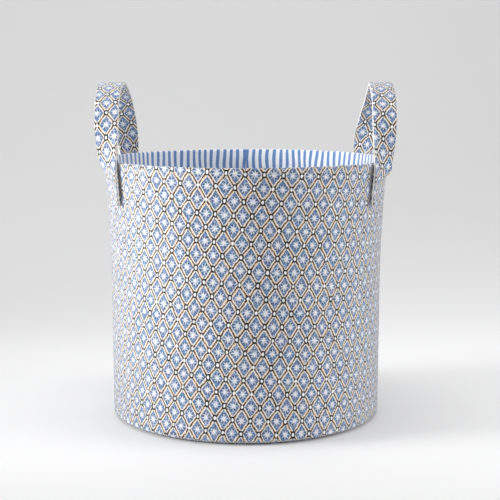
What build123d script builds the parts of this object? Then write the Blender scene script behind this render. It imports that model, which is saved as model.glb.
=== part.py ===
"""A fabric storage bin: a round, stiffened cloth tub with two strap handles.

The origin is the middle of the underside and +Z is up. The handles stand at -X and +X.
Sizes are in millimetres and angles in degrees.
"""

import math
import os

from build123d import *

# Tub
base_radius = 181.0  # outside of the wall, over its straight lower part
rim_flare = 9.0  # how far the rim leans out past the straight part
wall_height = 346.0
flare_start = 150.0  # height at which the wall begins to lean out
corner_radius = 9.0  # roll of the wall into the base

# Cloth layers, from the outside in
outer_cloth = 0.8
core_thickness = 3.0  # foam in the wall and board in the base, which lie flush
lining_cloth = 0.6
back_seam_gap = 0.4  # between the two upright edges of each rolled panel
base_seam_gap = 0.2  # between a base disc and the wall layer around it
rim_seam_gap = 0.2  # between the turned edges of outer wall and lining

# Handle straps: a woven tape with a strip of printed cloth on each face
strap_width = 32.0
strip_cloth = 0.8
webbing_thickness = 2.2
layer_gap = 0.1  # between a strap's layers, and between its sewn ends and the wall
leg_angle = 30.0  # round the rim, from the middle of a handle to the middle of each leg
handle_turn = 2.0  # round the rim, from the bin's side to the middle of a handle behind it
tab_length = 28.0  # sewn length of a strap's end
free_drop = 26.0  # from the rim down to the top of the sewn length
leg_lift = 5.4  # how far a leg swings off the wall, above its sewn end
lift_rise = 4.0  # where a leg has swung off, above the rim
handle_rise = 101.0  # top of the handle above the rim
arch_centre_rise = 6.0  # widest point of the arch above the rim
handle_lean = 7.5  # how far the crown stands out past the legs
twist_length = 54.0  # strap length over which most of its turn to the front is made
twist_power = 1.5  # how gently that turn begins
bend_rise = 30.0  # top of the strap's soft bend above the rim
bend_section_count = 9
loop_section_count = 31

# The fold of a handle about the line through its two bends
fold_rise = 4.0  # fold line above the rim
fold_range = (-95.0, 140.0)  # inwards over the mouth, outwards beside the wall

# Thread
stitch_length = 3.2
stitch_pitch = 4.0
thread_width = 0.7
thread_height = 0.5
thread_clearance = 0.02
rim_stitch_drop = 7.0  # below the rim
tab_stitch_inset = 4.0  # in from the edges of a sewn end

# Worked out from the sizes above
wall_thickness = outer_cloth + core_thickness + lining_cloth
foam_depth = outer_cloth
lining_depth = outer_cloth + core_thickness
strap_thickness = 2 * (strip_cloth + layer_gap) + webbing_thickness
flare_rise = wall_height - flare_start
flare_radius = (flare_rise**2 + rim_flare**2) / (2 * rim_flare)
flare_centre = base_radius + flare_radius
disc_radius = base_radius - corner_radius - base_seam_gap
tab_top = wall_height - free_drop
tab_bottom = tab_top - tab_length
tab_middle = layer_gap + strap_thickness / 2  # off the wall
tab_face = layer_gap + strap_thickness
arch_centre = wall_height + arch_centre_rise
arch_rise = handle_rise - arch_centre_rise - strap_thickness / 2

os.makedirs("parts", exist_ok=True)


def save(builder, label):
    """Labels a finished piece and writes it under its node's name."""
    builder.part.label = label
    export_step(builder.part, f"parts/{label}.step")


# Shape of the wall


def wall_radius(height, depth):
    """Distance from the axis to the wall's section, depth in from its outer face."""
    if height <= flare_start:
        return base_radius - depth
    return flare_centre - math.sqrt((flare_radius + depth) ** 2 - (height - flare_start) ** 2)


def wall_slope(height):
    """How far the wall's outer face leans out from upright at that height, in radians."""
    return math.asin(max(0, height - flare_start) / flare_radius)


def off_wall(height, distance):
    """Point (radius, height) square off the wall's outer face, from the face at that height."""
    slope = wall_slope(height)
    radius = wall_radius(height, 0) + distance * math.cos(slope)
    return radius, height - distance * math.sin(slope)


def upright_plane(angle):
    """A plane through the axis: its x runs outwards at that angle and its y runs up."""
    outwards = Vector(1, 0, 0).rotate(Axis.Z, angle)
    return Plane((0, 0, 0), x_dir=outwards, z_dir=outwards.rotate(Axis.Z, -90))


def wall_line(depth, top):
    """Draws the wall's section at one depth: base corner, straight part and flare."""
    foot = (base_radius - corner_radius, depth)
    heel = (base_radius - depth, corner_radius)
    knee = (base_radius - depth, flare_start)
    head = (wall_radius(top, depth), top)
    TangentArc(heel, foot, tangent=(0, -1))
    Line(heel, knee)
    TangentArc(knee, head, tangent=(0, 1))
    return foot, head


def roll_panel():
    """Turns the drawn section into a panel rolled round the axis, open at the back seam."""
    revolve(axis=Axis.Z, revolution_arc=360 - math.degrees(back_seam_gap / base_radius))


seam_plane = upright_plane(90 + math.degrees(back_seam_gap / base_radius) / 2)
rim_seam = wall_radius(wall_height, wall_thickness / 2)

# Outer wall: printed cloth, rolled in at the base and turned in over the rim

with BuildPart() as outer_wall:
    with BuildSketch(seam_plane):
        with BuildLine():
            outside_foot, outside_head = wall_line(0, wall_height)
            inside_foot, inside_head = wall_line(outer_cloth, wall_height - outer_cloth)
            hem = rim_seam + rim_seam_gap / 2
            Polyline(outside_head, (hem, wall_height), (hem, wall_height - outer_cloth), inside_head)
            Line(outside_foot, inside_foot)
        make_face()
    roll_panel()
save(outer_wall, "outer_wall")

# Wall foam: the stiff layer between outer wall and lining

with BuildPart() as wall_foam:
    with BuildSketch(seam_plane):
        with BuildLine():
            outside_foot, outside_head = wall_line(foam_depth, wall_height - outer_cloth)
            inside_foot, inside_head = wall_line(lining_depth, wall_height - outer_cloth)
            Line(outside_head, inside_head)
            Line(outside_foot, inside_foot)
        make_face()
    roll_panel()
save(wall_foam, "wall_foam")

# Lining wall: striped cloth, turned out over the rim to meet the outer wall

with BuildPart() as lining_wall:
    with BuildSketch(seam_plane):
        with BuildLine():
            outside_foot, outside_head = wall_line(lining_depth, wall_height - lining_cloth)
            inside_foot, inside_head = wall_line(wall_thickness, wall_height)
            hem = rim_seam - rim_seam_gap / 2
            Polyline(outside_head, (hem, wall_height - lining_cloth), (hem, wall_height), inside_head)
            Line(outside_foot, inside_foot)
        make_face()
    roll_panel()
save(lining_wall, "lining_wall")

# Base: printed disc underneath, stiff board, striped disc on top

base_layers = {
    "outer_base": (0, outer_cloth),
    "base_board": (foam_depth, core_thickness),
    "base_lining": (lining_depth, lining_cloth),
}
for label, (depth, thickness) in base_layers.items():
    with BuildPart() as disc:
        with BuildSketch(Plane.XY.offset(depth)):
            Circle(disc_radius)
        extrude(amount=thickness)
    save(disc, label)

# Thread


def stitch_plane(angle, height, distance, lean=0.0):
    """A plane along the wall, that distance off its face. Its z points away from the wall and
    its x runs round the wall, turned up by lean."""
    slope = wall_slope(height)
    radius, level = off_wall(height, distance + thread_clearance)
    outwards = Vector(math.cos(slope), 0, -math.sin(slope))
    around = Vector(0, 1, 0)
    upwards = outwards.cross(around)
    along = around * math.cos(lean) + upwards * math.sin(lean)
    return Plane(
        Vector(radius, 0, level).rotate(Axis.Z, angle),
        x_dir=along.rotate(Axis.Z, angle),
        z_dir=outwards.rotate(Axis.Z, angle),
    )


def lay_stitches(planes):
    """Lays one stitch on each plane."""
    with Locations(*planes):
        Box(
            stitch_length,
            thread_width,
            thread_height,
            align=(Align.CENTER, Align.CENTER, Align.MIN),
        )


rim_stitch_height = wall_height - rim_stitch_drop
rim_stitch_count = round(2 * math.pi * wall_radius(rim_stitch_height, 0) / stitch_pitch)

with BuildPart() as rim_topstitch:
    lay_stitches(
        [
            stitch_plane(360 * (i + 0.5) / rim_stitch_count, rim_stitch_height, 0)
            for i in range(rim_stitch_count)
        ]
    )
save(rim_topstitch, "rim_topstitch")

# Shape of a strap, written for the front leg of a handle whose middle is at +X


def smooth_step(share):
    """Rises from 0 to 1 with level ends, and stays there outside them."""
    share = min(max(share, 0), 1)
    return share**2 * (3 - 2 * share)


def leg_stand_off(rise):
    """Middle of the strap off the wall, at that rise above the rim or, if negative, below it."""
    lift = leg_lift * smooth_step((rise + free_drop) / (lift_rise + free_drop))
    return tab_middle + lift


leg_radius, leg_height = off_wall(wall_height, leg_stand_off(0))
leg = Vector(leg_radius, 0, leg_height).rotate(Axis.Z, -leg_angle)
arch_start = math.asin((leg.Z - arch_centre) / arch_rise)
arch_turn = math.pi / 2 - arch_start
half_span = -leg.Y / math.cos(arch_start)
quarter_arch = arch_turn * (arch_rise + half_span) / 2
bend_station = (math.asin((bend_rise - arch_centre_rise) / arch_rise) - arch_start) / arch_turn
station_step = 0.001


def strap_centre(station):
    """Middle of the strap: station -1 is the top of the sewn end, 0 the rim and 1 the crown.
    Below the rim it swings off the wall, and above it follows an ellipse that leans outwards."""
    if station <= 0:
        rise = free_drop * station
        radius, height = off_wall(wall_height + rise, leg_stand_off(rise))
        return Vector(radius, 0, height).rotate(Axis.Z, -leg_angle)
    turn = arch_start + arch_turn * station
    height = arch_centre + arch_rise * math.sin(turn)
    swing = leg_stand_off(height - leg.Z) - leg_stand_off(0)
    lean = handle_lean * math.sin(math.pi / 2 * station)
    return Vector(
        leg.X + swing * math.cos(math.radians(leg_angle)) + lean,
        -half_span * math.cos(turn),
        height,
    )


def strap_plane(station, turn):
    """Section plane of the strap. Its z runs along the strap towards the crown, its x across
    it and its y out of the outer face. Past the crown, at stations over 1, it comes down the
    other leg as the mirror image of the first. Turn carries it round the bin to its handle."""
    front = min(station, 2 - station)
    ahead = strap_centre(min(front + station_step, 1))
    along = ahead - strap_centre(min(front, 1 - station_step) - station_step)
    run = free_drop * (1 + min(front, 0)) + quarter_arch * max(front, 0)
    twist = 1 - math.exp(-((max(run, 0) / twist_length) ** twist_power))
    facing = leg_angle + (90 - leg_angle) * twist
    across = Vector(0, -1, 0).rotate(Axis.Z, -facing)
    centre = strap_centre(front)
    if station > 1:
        centre = Vector(centre.X, -centre.Y, centre.Z)
        across = Vector(across.X, -across.Y, 0)
        along = Vector(-along.X, along.Y, -along.Z)
    along = along.normalized()
    across = across - along * across.dot(along)
    return Plane(
        centre.rotate(Axis.Z, turn),
        x_dir=across.rotate(Axis.Z, turn),
        z_dir=along.rotate(Axis.Z, turn),
    )


def loft_strap(first, last, count, turn, low, high):
    """Lofts one layer of the strap, from low to high off its middle, between two stations."""
    sections = []
    for i in range(count):
        station = first + (last - first) * i / (count - 1)
        with BuildSketch(strap_plane(station, turn)) as section:
            with Locations((0, (low + high) / 2)):
                Rectangle(strap_width, high - low)
        sections.append(section.sketch)
    loft(sections, ruled=True)


def roll_tab(angle, near, far):
    """Makes one layer of a sewn end: a patch on the wall, from near to far off its face."""
    heights = (tab_bottom, (tab_bottom + tab_top) / 2, tab_top)
    near_line = [off_wall(height, near) for height in heights]
    far_line = [off_wall(height, far) for height in heights]
    span = math.degrees(strap_width / near_line[1][0])
    with BuildSketch(upright_plane(angle - span / 2)) as section:
        with BuildLine():
            ThreePointArc(*near_line)
            ThreePointArc(*far_line)
            Line(near_line[0], far_line[0])
            Line(near_line[-1], far_line[-1])
        make_face()
    revolve(section.sketch, axis=Axis.Z, revolution_arc=span)


def stitch_row(angle, start, end):
    """Planes of a row of stitches on a sewn end at that angle. The row's ends are given as
    the distance round the wall from the end's middle and the height."""
    count = max(1, round(math.dist(start, end) / stitch_pitch))
    lean = math.atan2(end[1] - start[1], end[0] - start[0])
    planes = []
    for i in range(count):
        share = (i + 0.5) / count
        height = start[1] + (end[1] - start[1]) * share
        around = start[0] + (end[0] - start[0]) * share
        offset = math.degrees(around / off_wall(height, tab_face)[0])
        planes.append(stitch_plane(angle + offset, height, tab_face, lean))
    return planes


# Each layer of a strap: its low and high faces, from the strap's middle outwards

strap_layers = {
    "inner_strip": (-strap_thickness / 2, strip_cloth - strap_thickness / 2),
    "webbing": (-webbing_thickness / 2, webbing_thickness / 2),
    "outer_strip": (strap_thickness / 2 - strip_cloth, strap_thickness / 2),
}

# Sewn ends and soft bends, four of each: they stay with the tub

right_turn = handle_turn
left_turn = 180 - handle_turn
first_leg = (-1, bend_station)
other_leg = (2 - bend_station, 3)
strap_ends = {
    "right_front": (right_turn - leg_angle, right_turn, first_leg),
    "right_back": (right_turn + leg_angle, right_turn, other_leg),
    "left_front": (left_turn + leg_angle, left_turn, other_leg),
    "left_back": (left_turn - leg_angle, left_turn, first_leg),
}
stitch_side = strap_width / 2 - tab_stitch_inset
stitch_low = tab_bottom + tab_stitch_inset
stitch_high = tab_top - tab_stitch_inset

for end, (angle, turn, stations) in strap_ends.items():
    for layer, (low, high) in strap_layers.items():
        with BuildPart() as tab:
            roll_tab(angle, low + tab_middle, high + tab_middle)
        save(tab, f"{end}_tab_{layer}")
        with BuildPart() as bend:
            loft_strap(*stations, bend_section_count, turn, low, high)
        save(bend, f"{end}_bend_{layer}")
    box_corners = [
        (-stitch_side, stitch_low),
        (stitch_side, stitch_low),
        (stitch_side, stitch_high),
        (-stitch_side, stitch_high),
    ]
    with BuildPart() as tab_stitches:
        for i in range(4):
            lay_stitches(stitch_row(angle, box_corners[i - 1], box_corners[i]))
        lay_stitches(stitch_row(angle, box_corners[0], box_corners[2]))
        lay_stitches(stitch_row(angle, box_corners[1], box_corners[3]))
    save(tab_stitches, f"{end}_tab_stitches")

# Handle loops: each folds as one piece about the line through its two bends

for side, turn in {"right": right_turn, "left": left_turn}.items():
    fold_line = Axis(
        Vector(leg.X, 0, wall_height + fold_rise).rotate(Axis.Z, turn),
        Vector(0, 1, 0).rotate(Axis.Z, turn),
    )
    for layer, (low, high) in strap_layers.items():
        with BuildPart() as loop:
            loft_strap(bend_station, 2 - bend_station, loop_section_count, turn, low, high)
        if layer == "webbing":
            RevoluteJoint(f"{side}_handle_fold", loop, axis=fold_line, angular_range=fold_range)
        save(loop, f"{side}_handle_{layer}")
    print(f"{side}_handle_fold", fold_line.position, fold_line.direction)
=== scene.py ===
"""Fabric storage bin: a round tub of printed cloth with a striped lining and two strap handles.

Sizes are in metres. The frame is the packed model's: +Z is up, the handles stand at -X and +X,
and the front is at -Y.
"""

import math

import bpy
import numpy as np
from bpy.props import FloatProperty, FloatVectorProperty, PointerProperty
from bpy.types import Operator, Panel, PropertyGroup
from mathutils import Euler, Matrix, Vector


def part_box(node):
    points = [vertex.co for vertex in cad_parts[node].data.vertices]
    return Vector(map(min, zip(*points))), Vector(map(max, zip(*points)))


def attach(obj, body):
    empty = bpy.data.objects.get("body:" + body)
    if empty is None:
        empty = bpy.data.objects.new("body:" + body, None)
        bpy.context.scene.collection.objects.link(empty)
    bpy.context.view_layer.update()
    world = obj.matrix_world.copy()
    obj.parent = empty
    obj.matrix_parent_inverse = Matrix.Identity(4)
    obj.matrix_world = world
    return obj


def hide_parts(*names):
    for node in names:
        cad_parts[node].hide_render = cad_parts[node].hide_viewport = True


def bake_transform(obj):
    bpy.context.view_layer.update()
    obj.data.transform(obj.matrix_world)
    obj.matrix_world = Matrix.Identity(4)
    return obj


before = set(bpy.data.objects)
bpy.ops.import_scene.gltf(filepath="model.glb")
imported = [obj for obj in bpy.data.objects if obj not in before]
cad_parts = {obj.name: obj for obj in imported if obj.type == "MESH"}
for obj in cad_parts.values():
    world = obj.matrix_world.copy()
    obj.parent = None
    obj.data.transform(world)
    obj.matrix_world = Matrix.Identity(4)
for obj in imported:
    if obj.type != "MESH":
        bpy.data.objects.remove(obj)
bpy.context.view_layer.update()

bl_info = {
    "name": "Fabric storage bin",
    "version": (1, 0, 0),
    "blender": (4, 5, 0),
    "location": "3D View > Sidebar > Storage bin",
    "description": "Dresses a packed storage bin in print, lining, straps and thread",
    "category": "Add Mesh",
}

UV_NAME = "cloth"  # UV map of every piece, in metres of flat cloth
MM = 0.001

wall_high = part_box("outer_wall")[1]
outer_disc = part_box("outer_base")
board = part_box("base_board")
lining_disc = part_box("base_lining")
handle_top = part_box("right_handle_outer_strip")[1].z


# Sizes and colours that a user would change


def length(name, default, description):
    """A size in metres."""
    return FloatProperty(
        name=name, description=description, default=default, unit="LENGTH", precision=5
    )


def angle(name, degrees, description):
    """An angle, given in degrees and kept in radians."""
    return FloatProperty(
        name=name, description=description, default=math.radians(degrees), subtype="ANGLE"
    )


def factor(name, default, description):
    """A plain number."""
    return FloatProperty(name=name, description=description, default=default)


def power(name, default, description):
    """A light's power in watts."""
    return FloatProperty(name=name, description=description, default=default, unit="POWER")


def colour(name, default, description):
    """A linear colour."""
    return FloatVectorProperty(
        name=name, description=description, default=default, subtype="COLOR", size=3, min=0, max=1
    )


class TubSizes(PropertyGroup):
    """Shape of the tub and its layers."""

    rim_radius: length("Rim radius", wall_high.x, "Outside of the wall at the rim")
    rim_flare: length("Rim flare", 0.009, "How far the rim leans out past the straight part")
    wall_height: length("Wall height", wall_high.z, "Rim above the floor")
    flare_start: length("Flare start", 0.150, "Height at which the wall begins to lean out")
    disc_radius: length("Base disc radius", outer_disc[1].x, "Outside of the base discs")
    corner_radius: length("Base corner", 0.009, "Roll of the wall into the base")
    outer_cloth: length("Outer cloth", outer_disc[1].z - outer_disc[0].z, "Thickness of the print")
    core: length("Core", board[1].z - board[0].z, "Thickness of the foam and the board")
    lining_cloth: length("Lining", lining_disc[1].z - lining_disc[0].z, "Thickness of the lining")
    layer_gap: length("Layer gap", 0.00005, "Between neighbouring layers")
    foot_lift: length("Foot lift", 0.0028, "Gap under the wall's roll, outside the base seam")
    foot_square: factor("Foot squareness", 0.55, "Power that squares the wall's roll; 1 is an oval")
    waver: length("Waver", 0.0007, "How far the wall strays from a true round")
    seam_depth: length("Seam depth", 0.0005, "Depth of the groove along the back seam")


class StrapSizes(PropertyGroup):
    """Shape of a handle strap, which is a tape between two strips of print."""

    width: length("Width", 0.032, "Width of the strap")
    strip_cloth: length("Strip", 0.0008, "Thickness of a printed strip")
    webbing: length("Tape", 0.0022, "Thickness of the woven tape")
    layer_gap: length("Layer gap", 0.0001, "Between layers, and between a sewn end and the wall")
    leg_angle: angle("Leg angle", 30, "Round the rim, from a handle's middle to each leg")
    handle_turn: angle("Handle turn", 2, "Round the rim, from the bin's side back to a handle")
    tab_length: length("Sewn length", 0.028, "Length of a sewn end")
    free_drop: length("Free drop", 0.026, "From the rim down to the top of a sewn end")
    leg_lift: length("Leg lift", 0.0054, "How far a leg swings off the wall above its sewn end")
    lift_rise: length("Lift rise", 0.004, "Where a leg has swung off, above the rim")
    top: length("Top", handle_top, "Top of the handle above the floor")
    arch_centre_rise: length("Arch centre", 0.006, "Widest point of the arch above the rim")
    lean: length("Lean", 0.0075, "How far the crown stands out past the legs")
    twist_length: length("Twist length", 0.054, "Strap length that takes most of its turn")
    twist_power: factor("Twist power", 1.5, "How gently that turn begins")
    heel_lift: length("Heel lift", 0.0055, "How far the right front leg's inner edge lifts off")
    far_sway: length("Far sway", 0.0070, "How far the right handle's far leg sways out")
    edge_lift: length("Edge lift", 0.0024, "How far a sewn end's outer edge curls off the wall")
    blend_low: length("Bend foot", -0.020, "Where the strap begins to bend, from the rim")
    blend_high: length("Bend head", 0.055, "Where the strap has bent, above the rim")


class ThreadSizes(PropertyGroup):
    """Sewing thread."""

    stitch: length("Stitch", 0.0032, "Length of a stitch")
    pitch: length("Pitch", 0.0040, "From one stitch to the next")
    width: length("Width", 0.0006, "Thickness of the thread")
    rim_drop: length("Rim row", 0.007, "Row of stitches below the rim")
    tab_inset: length("Tab row", 0.004, "Rows in from the edges of a sewn end")


class PrintLook(PropertyGroup):
    """The trellis print."""

    pitch: length("Pitch", 0.02277, "Width of a diamond")
    rise: length("Rise", 0.03403, "Height of a diamond")
    tilt: angle("Tilt", 3.1, "How far the rows run down to the right")
    dot_across: length("Dot across", 0.0259, "A dot's place round the wall from the front")
    dot_up: length("Dot up", 0.1842, "That dot's height on the wall")
    blue: colour("Blue", (0.105, 0.270, 0.535), "Ground of the diamonds")
    periwinkle: colour("Periwinkle", (0.175, 0.262, 0.540), "Second blue of the ground")
    navy: colour("Navy", (0.016, 0.030, 0.060), "Dark touches in the blue")
    white: colour("White", (0.97, 0.97, 0.97), "Stars and dots")
    cream: colour("Cream", (0.86, 0.82, 0.755), "Edges of the bars")
    tan: colour("Tan", (0.73, 0.45, 0.19), "Middle of the bars")
    brown: colour("Brown", (0.050, 0.028, 0.015), "Line along the bars")
    ink: colour("Ink", (0.006, 0.006, 0.008), "Rings round the dots")


class LiningLook(PropertyGroup):
    """The striped lining and the plain materials."""

    stripe_pitch: length("Stripe pitch", 0.0100, "From one blue stripe to the next")
    stripe_share: factor("Stripe share", 0.47, "Part of the pitch that is blue")
    blue: colour("Stripe blue", (0.062, 0.20, 0.48), "Blue stripes")
    white: colour("Stripe white", (0.93, 0.94, 0.97), "White stripes")
    tape: colour("Tape", (0.90, 0.88, 0.84), "Woven tape in the straps")
    thread: colour("Thread", (0.74, 0.73, 0.72), "Sewing thread")
    foam: colour("Foam", (0.80, 0.79, 0.75), "Foam in the wall")
    board: colour("Board", (0.34, 0.28, 0.21), "Board in the base")


class StageLook(PropertyGroup):
    """Camera, lights and floor."""

    camera: FloatVectorProperty(
        name="Camera", description="Place of the camera", default=(0.00566, -1.6816, 0.4594),
        subtype="XYZ", unit="LENGTH",
    )
    pitch: angle("Pitch", 8.09, "How far the camera looks down")
    lens: factor("Lens", 89.88, "Focal length in millimetres")
    key: power("Key light", 4.6, "Light on the left, aimed at the handles")
    fill: power("Fill light", 3.6, "Weak light on the right")
    top: power("Top light", 9.0, "Light straight above the bin")
    front: power("Front light", 1.7, "Low, wide light behind the camera")
    back: power("Back light", 5.8, "Wide light on the backdrop")
    sky: factor("Surround", 0.54, "Strength of the even light all round")
    floor: colour("Floor", (0.92, 0.92, 0.92), "Floor and backdrop")


# Meshes


def grid_faces(rows, columns, closed_rows=False, closed_columns=False):
    """Four-cornered faces between neighbouring rows and columns of a grid of points. Gives the
    corners as point numbers, and as rows and columns of a UV grid, which has one more row or
    column than the points where the grid closes on itself."""
    row, column = np.meshgrid(
        np.arange(rows - (not closed_rows)),
        np.arange(columns - (not closed_columns)),
        indexing="ij",
    )
    corner_row = np.stack([row, row, row + 1, row + 1], -1).reshape(-1, 4)
    corner_column = np.stack([column, column + 1, column + 1, column], -1).reshape(-1, 4)
    faces = corner_row % rows * columns + corner_column % columns
    return faces, (corner_row, corner_column)


def signed_volume(points, faces):
    """Volume within closed faces, which is negative where they point inwards: the sum of the
    boxes that each face's fan of triangles spans with the origin, over six."""
    total = 0.0
    for group in faces:
        first = points[group[:, 0]]
        for second, third in zip(group.T[1:-1], group.T[2:]):
            total += np.sum(first * np.cross(points[second], points[third])) / 6
    return total


def make_piece(name, points, faces, uvs, material):
    """A smooth mesh object at the origin, from points and groups of faces with their UVs, one
    face to a row. Faces of a closed shape that point inwards are turned round."""
    points = np.asarray(points, float).reshape(-1, 3)
    if signed_volume(points, faces) < 0:
        faces = [group[:, ::-1] for group in faces]
        uvs = [group[:, ::-1] for group in uvs]
    corners = np.concatenate([group.ravel() for group in faces]).astype(np.int32)
    counts = np.concatenate([np.full(len(group), group.shape[1]) for group in faces])
    starts = np.concatenate([[0], np.cumsum(counts)[:-1]]).astype(np.int32)
    mesh = bpy.data.meshes.new(name)
    mesh.vertices.add(len(points))
    mesh.vertices.foreach_set("co", points.astype(np.float32).ravel())
    mesh.loops.add(len(corners))
    mesh.loops.foreach_set("vertex_index", corners)
    mesh.polygons.add(len(counts))
    mesh.polygons.foreach_set("loop_start", starts)
    mesh.polygons.foreach_set("use_smooth", np.ones(len(counts), bool))
    layer = mesh.uv_layers.new(name=UV_NAME)
    flat = np.concatenate([group.reshape(-1, 2) for group in uvs])
    layer.data.foreach_set("uv", flat.astype(np.float32).ravel())
    mesh.update(calc_edges=True)
    if mesh.validate():
        raise RuntimeError(f"{name} has faces that Blender can't use")
    mesh.materials.append(material)
    piece = bpy.data.objects.new(name, mesh)
    bpy.context.scene.collection.objects.link(piece)
    return piece


def sweep_piece(name, grid, uv, material):
    """A closed piece from a grid whose rows are closed sections along a path, with flat ends."""
    rows, columns = grid.shape[:2]
    faces, (row, column) = grid_faces(rows, columns, closed_columns=True)
    ends = np.stack([np.arange(columns)[::-1], np.arange(columns) + (rows - 1) * columns])
    end_uv = np.stack([uv[0, :columns][::-1], uv[-1, :columns]])
    return make_piece(name, grid, [faces, ends], [uv[row, column], end_uv], material)


def ring_piece(name, grid, uv, material):
    """A closed piece from a grid that closes on itself both ways, such as a layer of the wall."""
    faces, (row, column) = grid_faces(*grid.shape[:2], closed_rows=True, closed_columns=True)
    return make_piece(name, grid, [faces], [uv[row, column]], material)


def smooth_step(share):
    """Rises from 0 to 1 with level ends: 3 t^2 - 2 t^3, with t held between 0 and 1."""
    share = np.clip(share, 0, 1)
    return share**2 * (3 - 2 * share)


def hump(share):
    """Rises from 0 to 1 and falls back with level ends: (1 - t^2)^2 from t = -1 to 1."""
    return np.clip(1 - share**2, 0, None) ** 2


def running_length(points):
    """Distance along a line of points from its first point."""
    steps = np.linalg.norm(np.diff(points, axis=0), axis=-1)
    return np.concatenate([[0], np.cumsum(steps)])


def on_round(radius, angle, height):
    """Points at that radius and height, at an angle from the front towards the right."""
    x, y = radius * np.sin(angle), -radius * np.cos(angle)
    return np.stack(np.broadcast_arrays(x, y, height), -1)


def turned(points, angle):
    """Points or directions turned about the upright axis."""
    cosine, sine = math.cos(angle), math.sin(angle)
    x, y, z = np.moveaxis(points, -1, 0)
    return np.stack([x * cosine - y * sine, x * sine + y * cosine, z], -1)


# Shape of the tub

SWELLS = (  # each wave's size, count round the wall, phase, and drift from base to rim
    (0.5, 5, 0.7, 2.1),
    (0.3, 9, 2.0, -3.2),
    (0.4, 2, 4.0, 1.3),
)
ROLL_START = 0.54  # where the rim's roll begins below the rim, in wall thicknesses
ROLL_TURN = math.radians(86)  # how far a cloth turns over the rim
FOOT_CURL = 18  # how sharply the foot leaves the floor
SEAM_SIDES = np.array([0.4, 0.8, 1.3, 2.0]) * MM  # extra columns beside the back seam
SEAM_REACH = 0.9 * MM  # groove along the seam, from its middle
ROW_REACH = 1.3 * MM  # groove under the rim's row of stitches, from its middle
ROW_ROWS = 4 * MM  # extra rows of points above and below that row
DISC_RIPPLE = 0.12 * MM  # height of a base cloth's ripples
RIPPLE_TURNS = (60, 48)  # their turns in radians to the metre, across and back


def wall_thickness(tub):
    """Print, core and lining together."""
    return tub.outer_cloth + tub.core + tub.lining_cloth


def base_radius(tub):
    """Outside of the wall's upright part."""
    return tub.rim_radius - tub.rim_flare


def cloth_radius(tub):
    """Radius at which the wall's cloth is measured, half-way out along its flare."""
    return tub.rim_radius - tub.rim_flare / 2


def flare_radius(tub):
    """Radius of the arc that carries the wall from upright out to the rim."""
    rise = tub.wall_height - tub.flare_start
    return (rise**2 + tub.rim_flare**2) / (2 * tub.rim_flare)


def wall_slope(tub, height):
    """Lean of the wall from upright: the arc sine of the height above the flare's start over
    the flare's radius."""
    return np.arcsin(np.clip(height - tub.flare_start, 0, None) / flare_radius(tub))


def off_wall(tub, height, distance):
    """Point (radius, height) square off the wall's outer face, from the face at that height."""
    slope = wall_slope(tub, height)
    radius = base_radius(tub) + flare_radius(tub) * (1 - np.cos(slope))
    return radius + distance * np.cos(slope), height - distance * np.sin(slope)


def waver(tub, angle, height):
    """Slow swells of the soft wall: three waves round it, each drifting with the height, that
    fade out at the base and the rim."""
    share = np.clip(height / tub.wall_height, 0, 1)
    waves = sum(
        size * np.sin(count * angle + phase + drift * share)
        for size, count, phase, drift in SWELLS
    )
    return tub.waver * waves * np.sin(math.pi * share)


def round_angles(tub):
    """Angles round the wall from the back seam over the left, the front and the right, closer
    together beside the seam."""
    even = np.linspace(-math.pi, math.pi, 360, endpoint=False)
    beside = SEAM_SIDES / tub.rim_radius
    return np.sort(np.concatenate([even, beside - math.pi, math.pi - beside]))


def wall_line(tub, stitch_height):
    """The wall's outer face from the foot to where the rim's roll begins: points (radius,
    height), the angle of the outward normal above level, and the height along the cloth. It is
    a squared quarter oval that leaves the floor near its inner end, an upright line and an arc."""
    corner = np.linspace(-math.pi / 2, 0, 10)[:-1]
    top = tub.wall_height - wall_thickness(tub) * ROLL_START
    even = np.linspace(tub.corner_radius, top, 62)
    beside_row = np.linspace(stitch_height - ROW_ROWS, stitch_height + ROW_ROWS, 13)
    heights = np.unique(np.concatenate([even, beside_row]))
    radius, _ = off_wall(tub, heights, 0)
    roll = tub.corner_radius * np.cos(corner) ** tub.foot_square
    lift = tub.foot_lift * smooth_step((corner / math.pi + 0.5) * FOOT_CURL)
    squared = 1 - np.abs(np.sin(corner)) ** tub.foot_square
    rise = lift + (tub.corner_radius - tub.foot_lift) * squared
    foot = np.stack([base_radius(tub) - tub.corner_radius + roll, rise], -1)
    points = np.concatenate([foot, np.stack([radius, heights], -1)])
    heading = np.concatenate([corner, -wall_slope(tub, heights)])
    run = np.concatenate([tub.corner_radius * (1 + corner), heights])
    return points, heading, run


def layer_section(tub, stitch_height, shown, hidden, side):
    """Closed section of one cloth layer of the wall, from its shown face to its hidden one,
    each given as a depth from the wall's outer face. Over the rim both faces follow arcs about
    the middle of the wall: side is 1 for the outer cloth, which turns in, -1 for the lining,
    which turns out, and 0 for a layer that stops below the roll. The hidden face has a quarter
    of the rows. Gives points, heights along the cloth, and 1 on the shown face or 0 on the
    hidden one."""
    points, heading, run = wall_line(tub, stitch_height)
    normal = np.stack([np.cos(heading), np.sin(heading)], -1)
    half = wall_thickness(tub) / 2
    centre = points[-1] - half * normal[-1]
    upward = np.array([-normal[-1, 1], normal[-1, 0]])
    turn = np.linspace(0, ROLL_TURN, 9)[1:, None]
    around = side * normal[-1] * np.cos(turn) + upward * np.sin(turn)
    over_run = run[-1] + half * turn[:, 0]
    faces, runs = [], []
    for depth, thin in ((shown, 1), (hidden, 4)):
        kept = np.unique(np.append(np.arange(0, len(points), thin), len(points) - 1))
        face = points[kept] - depth * normal[kept]
        over = centre + side * (half - depth) * around
        faces.append(np.concatenate([face, over]) if side else face)
        runs.append(np.concatenate([run[kept], over_run]) if side else run[kept])
    section = np.concatenate([faces[0], faces[1][::-1]])
    face_share = np.concatenate([np.ones(len(faces[0])), np.zeros(len(faces[1]))])
    return section, np.concatenate([runs[0], runs[1][::-1]]), face_share


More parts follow.
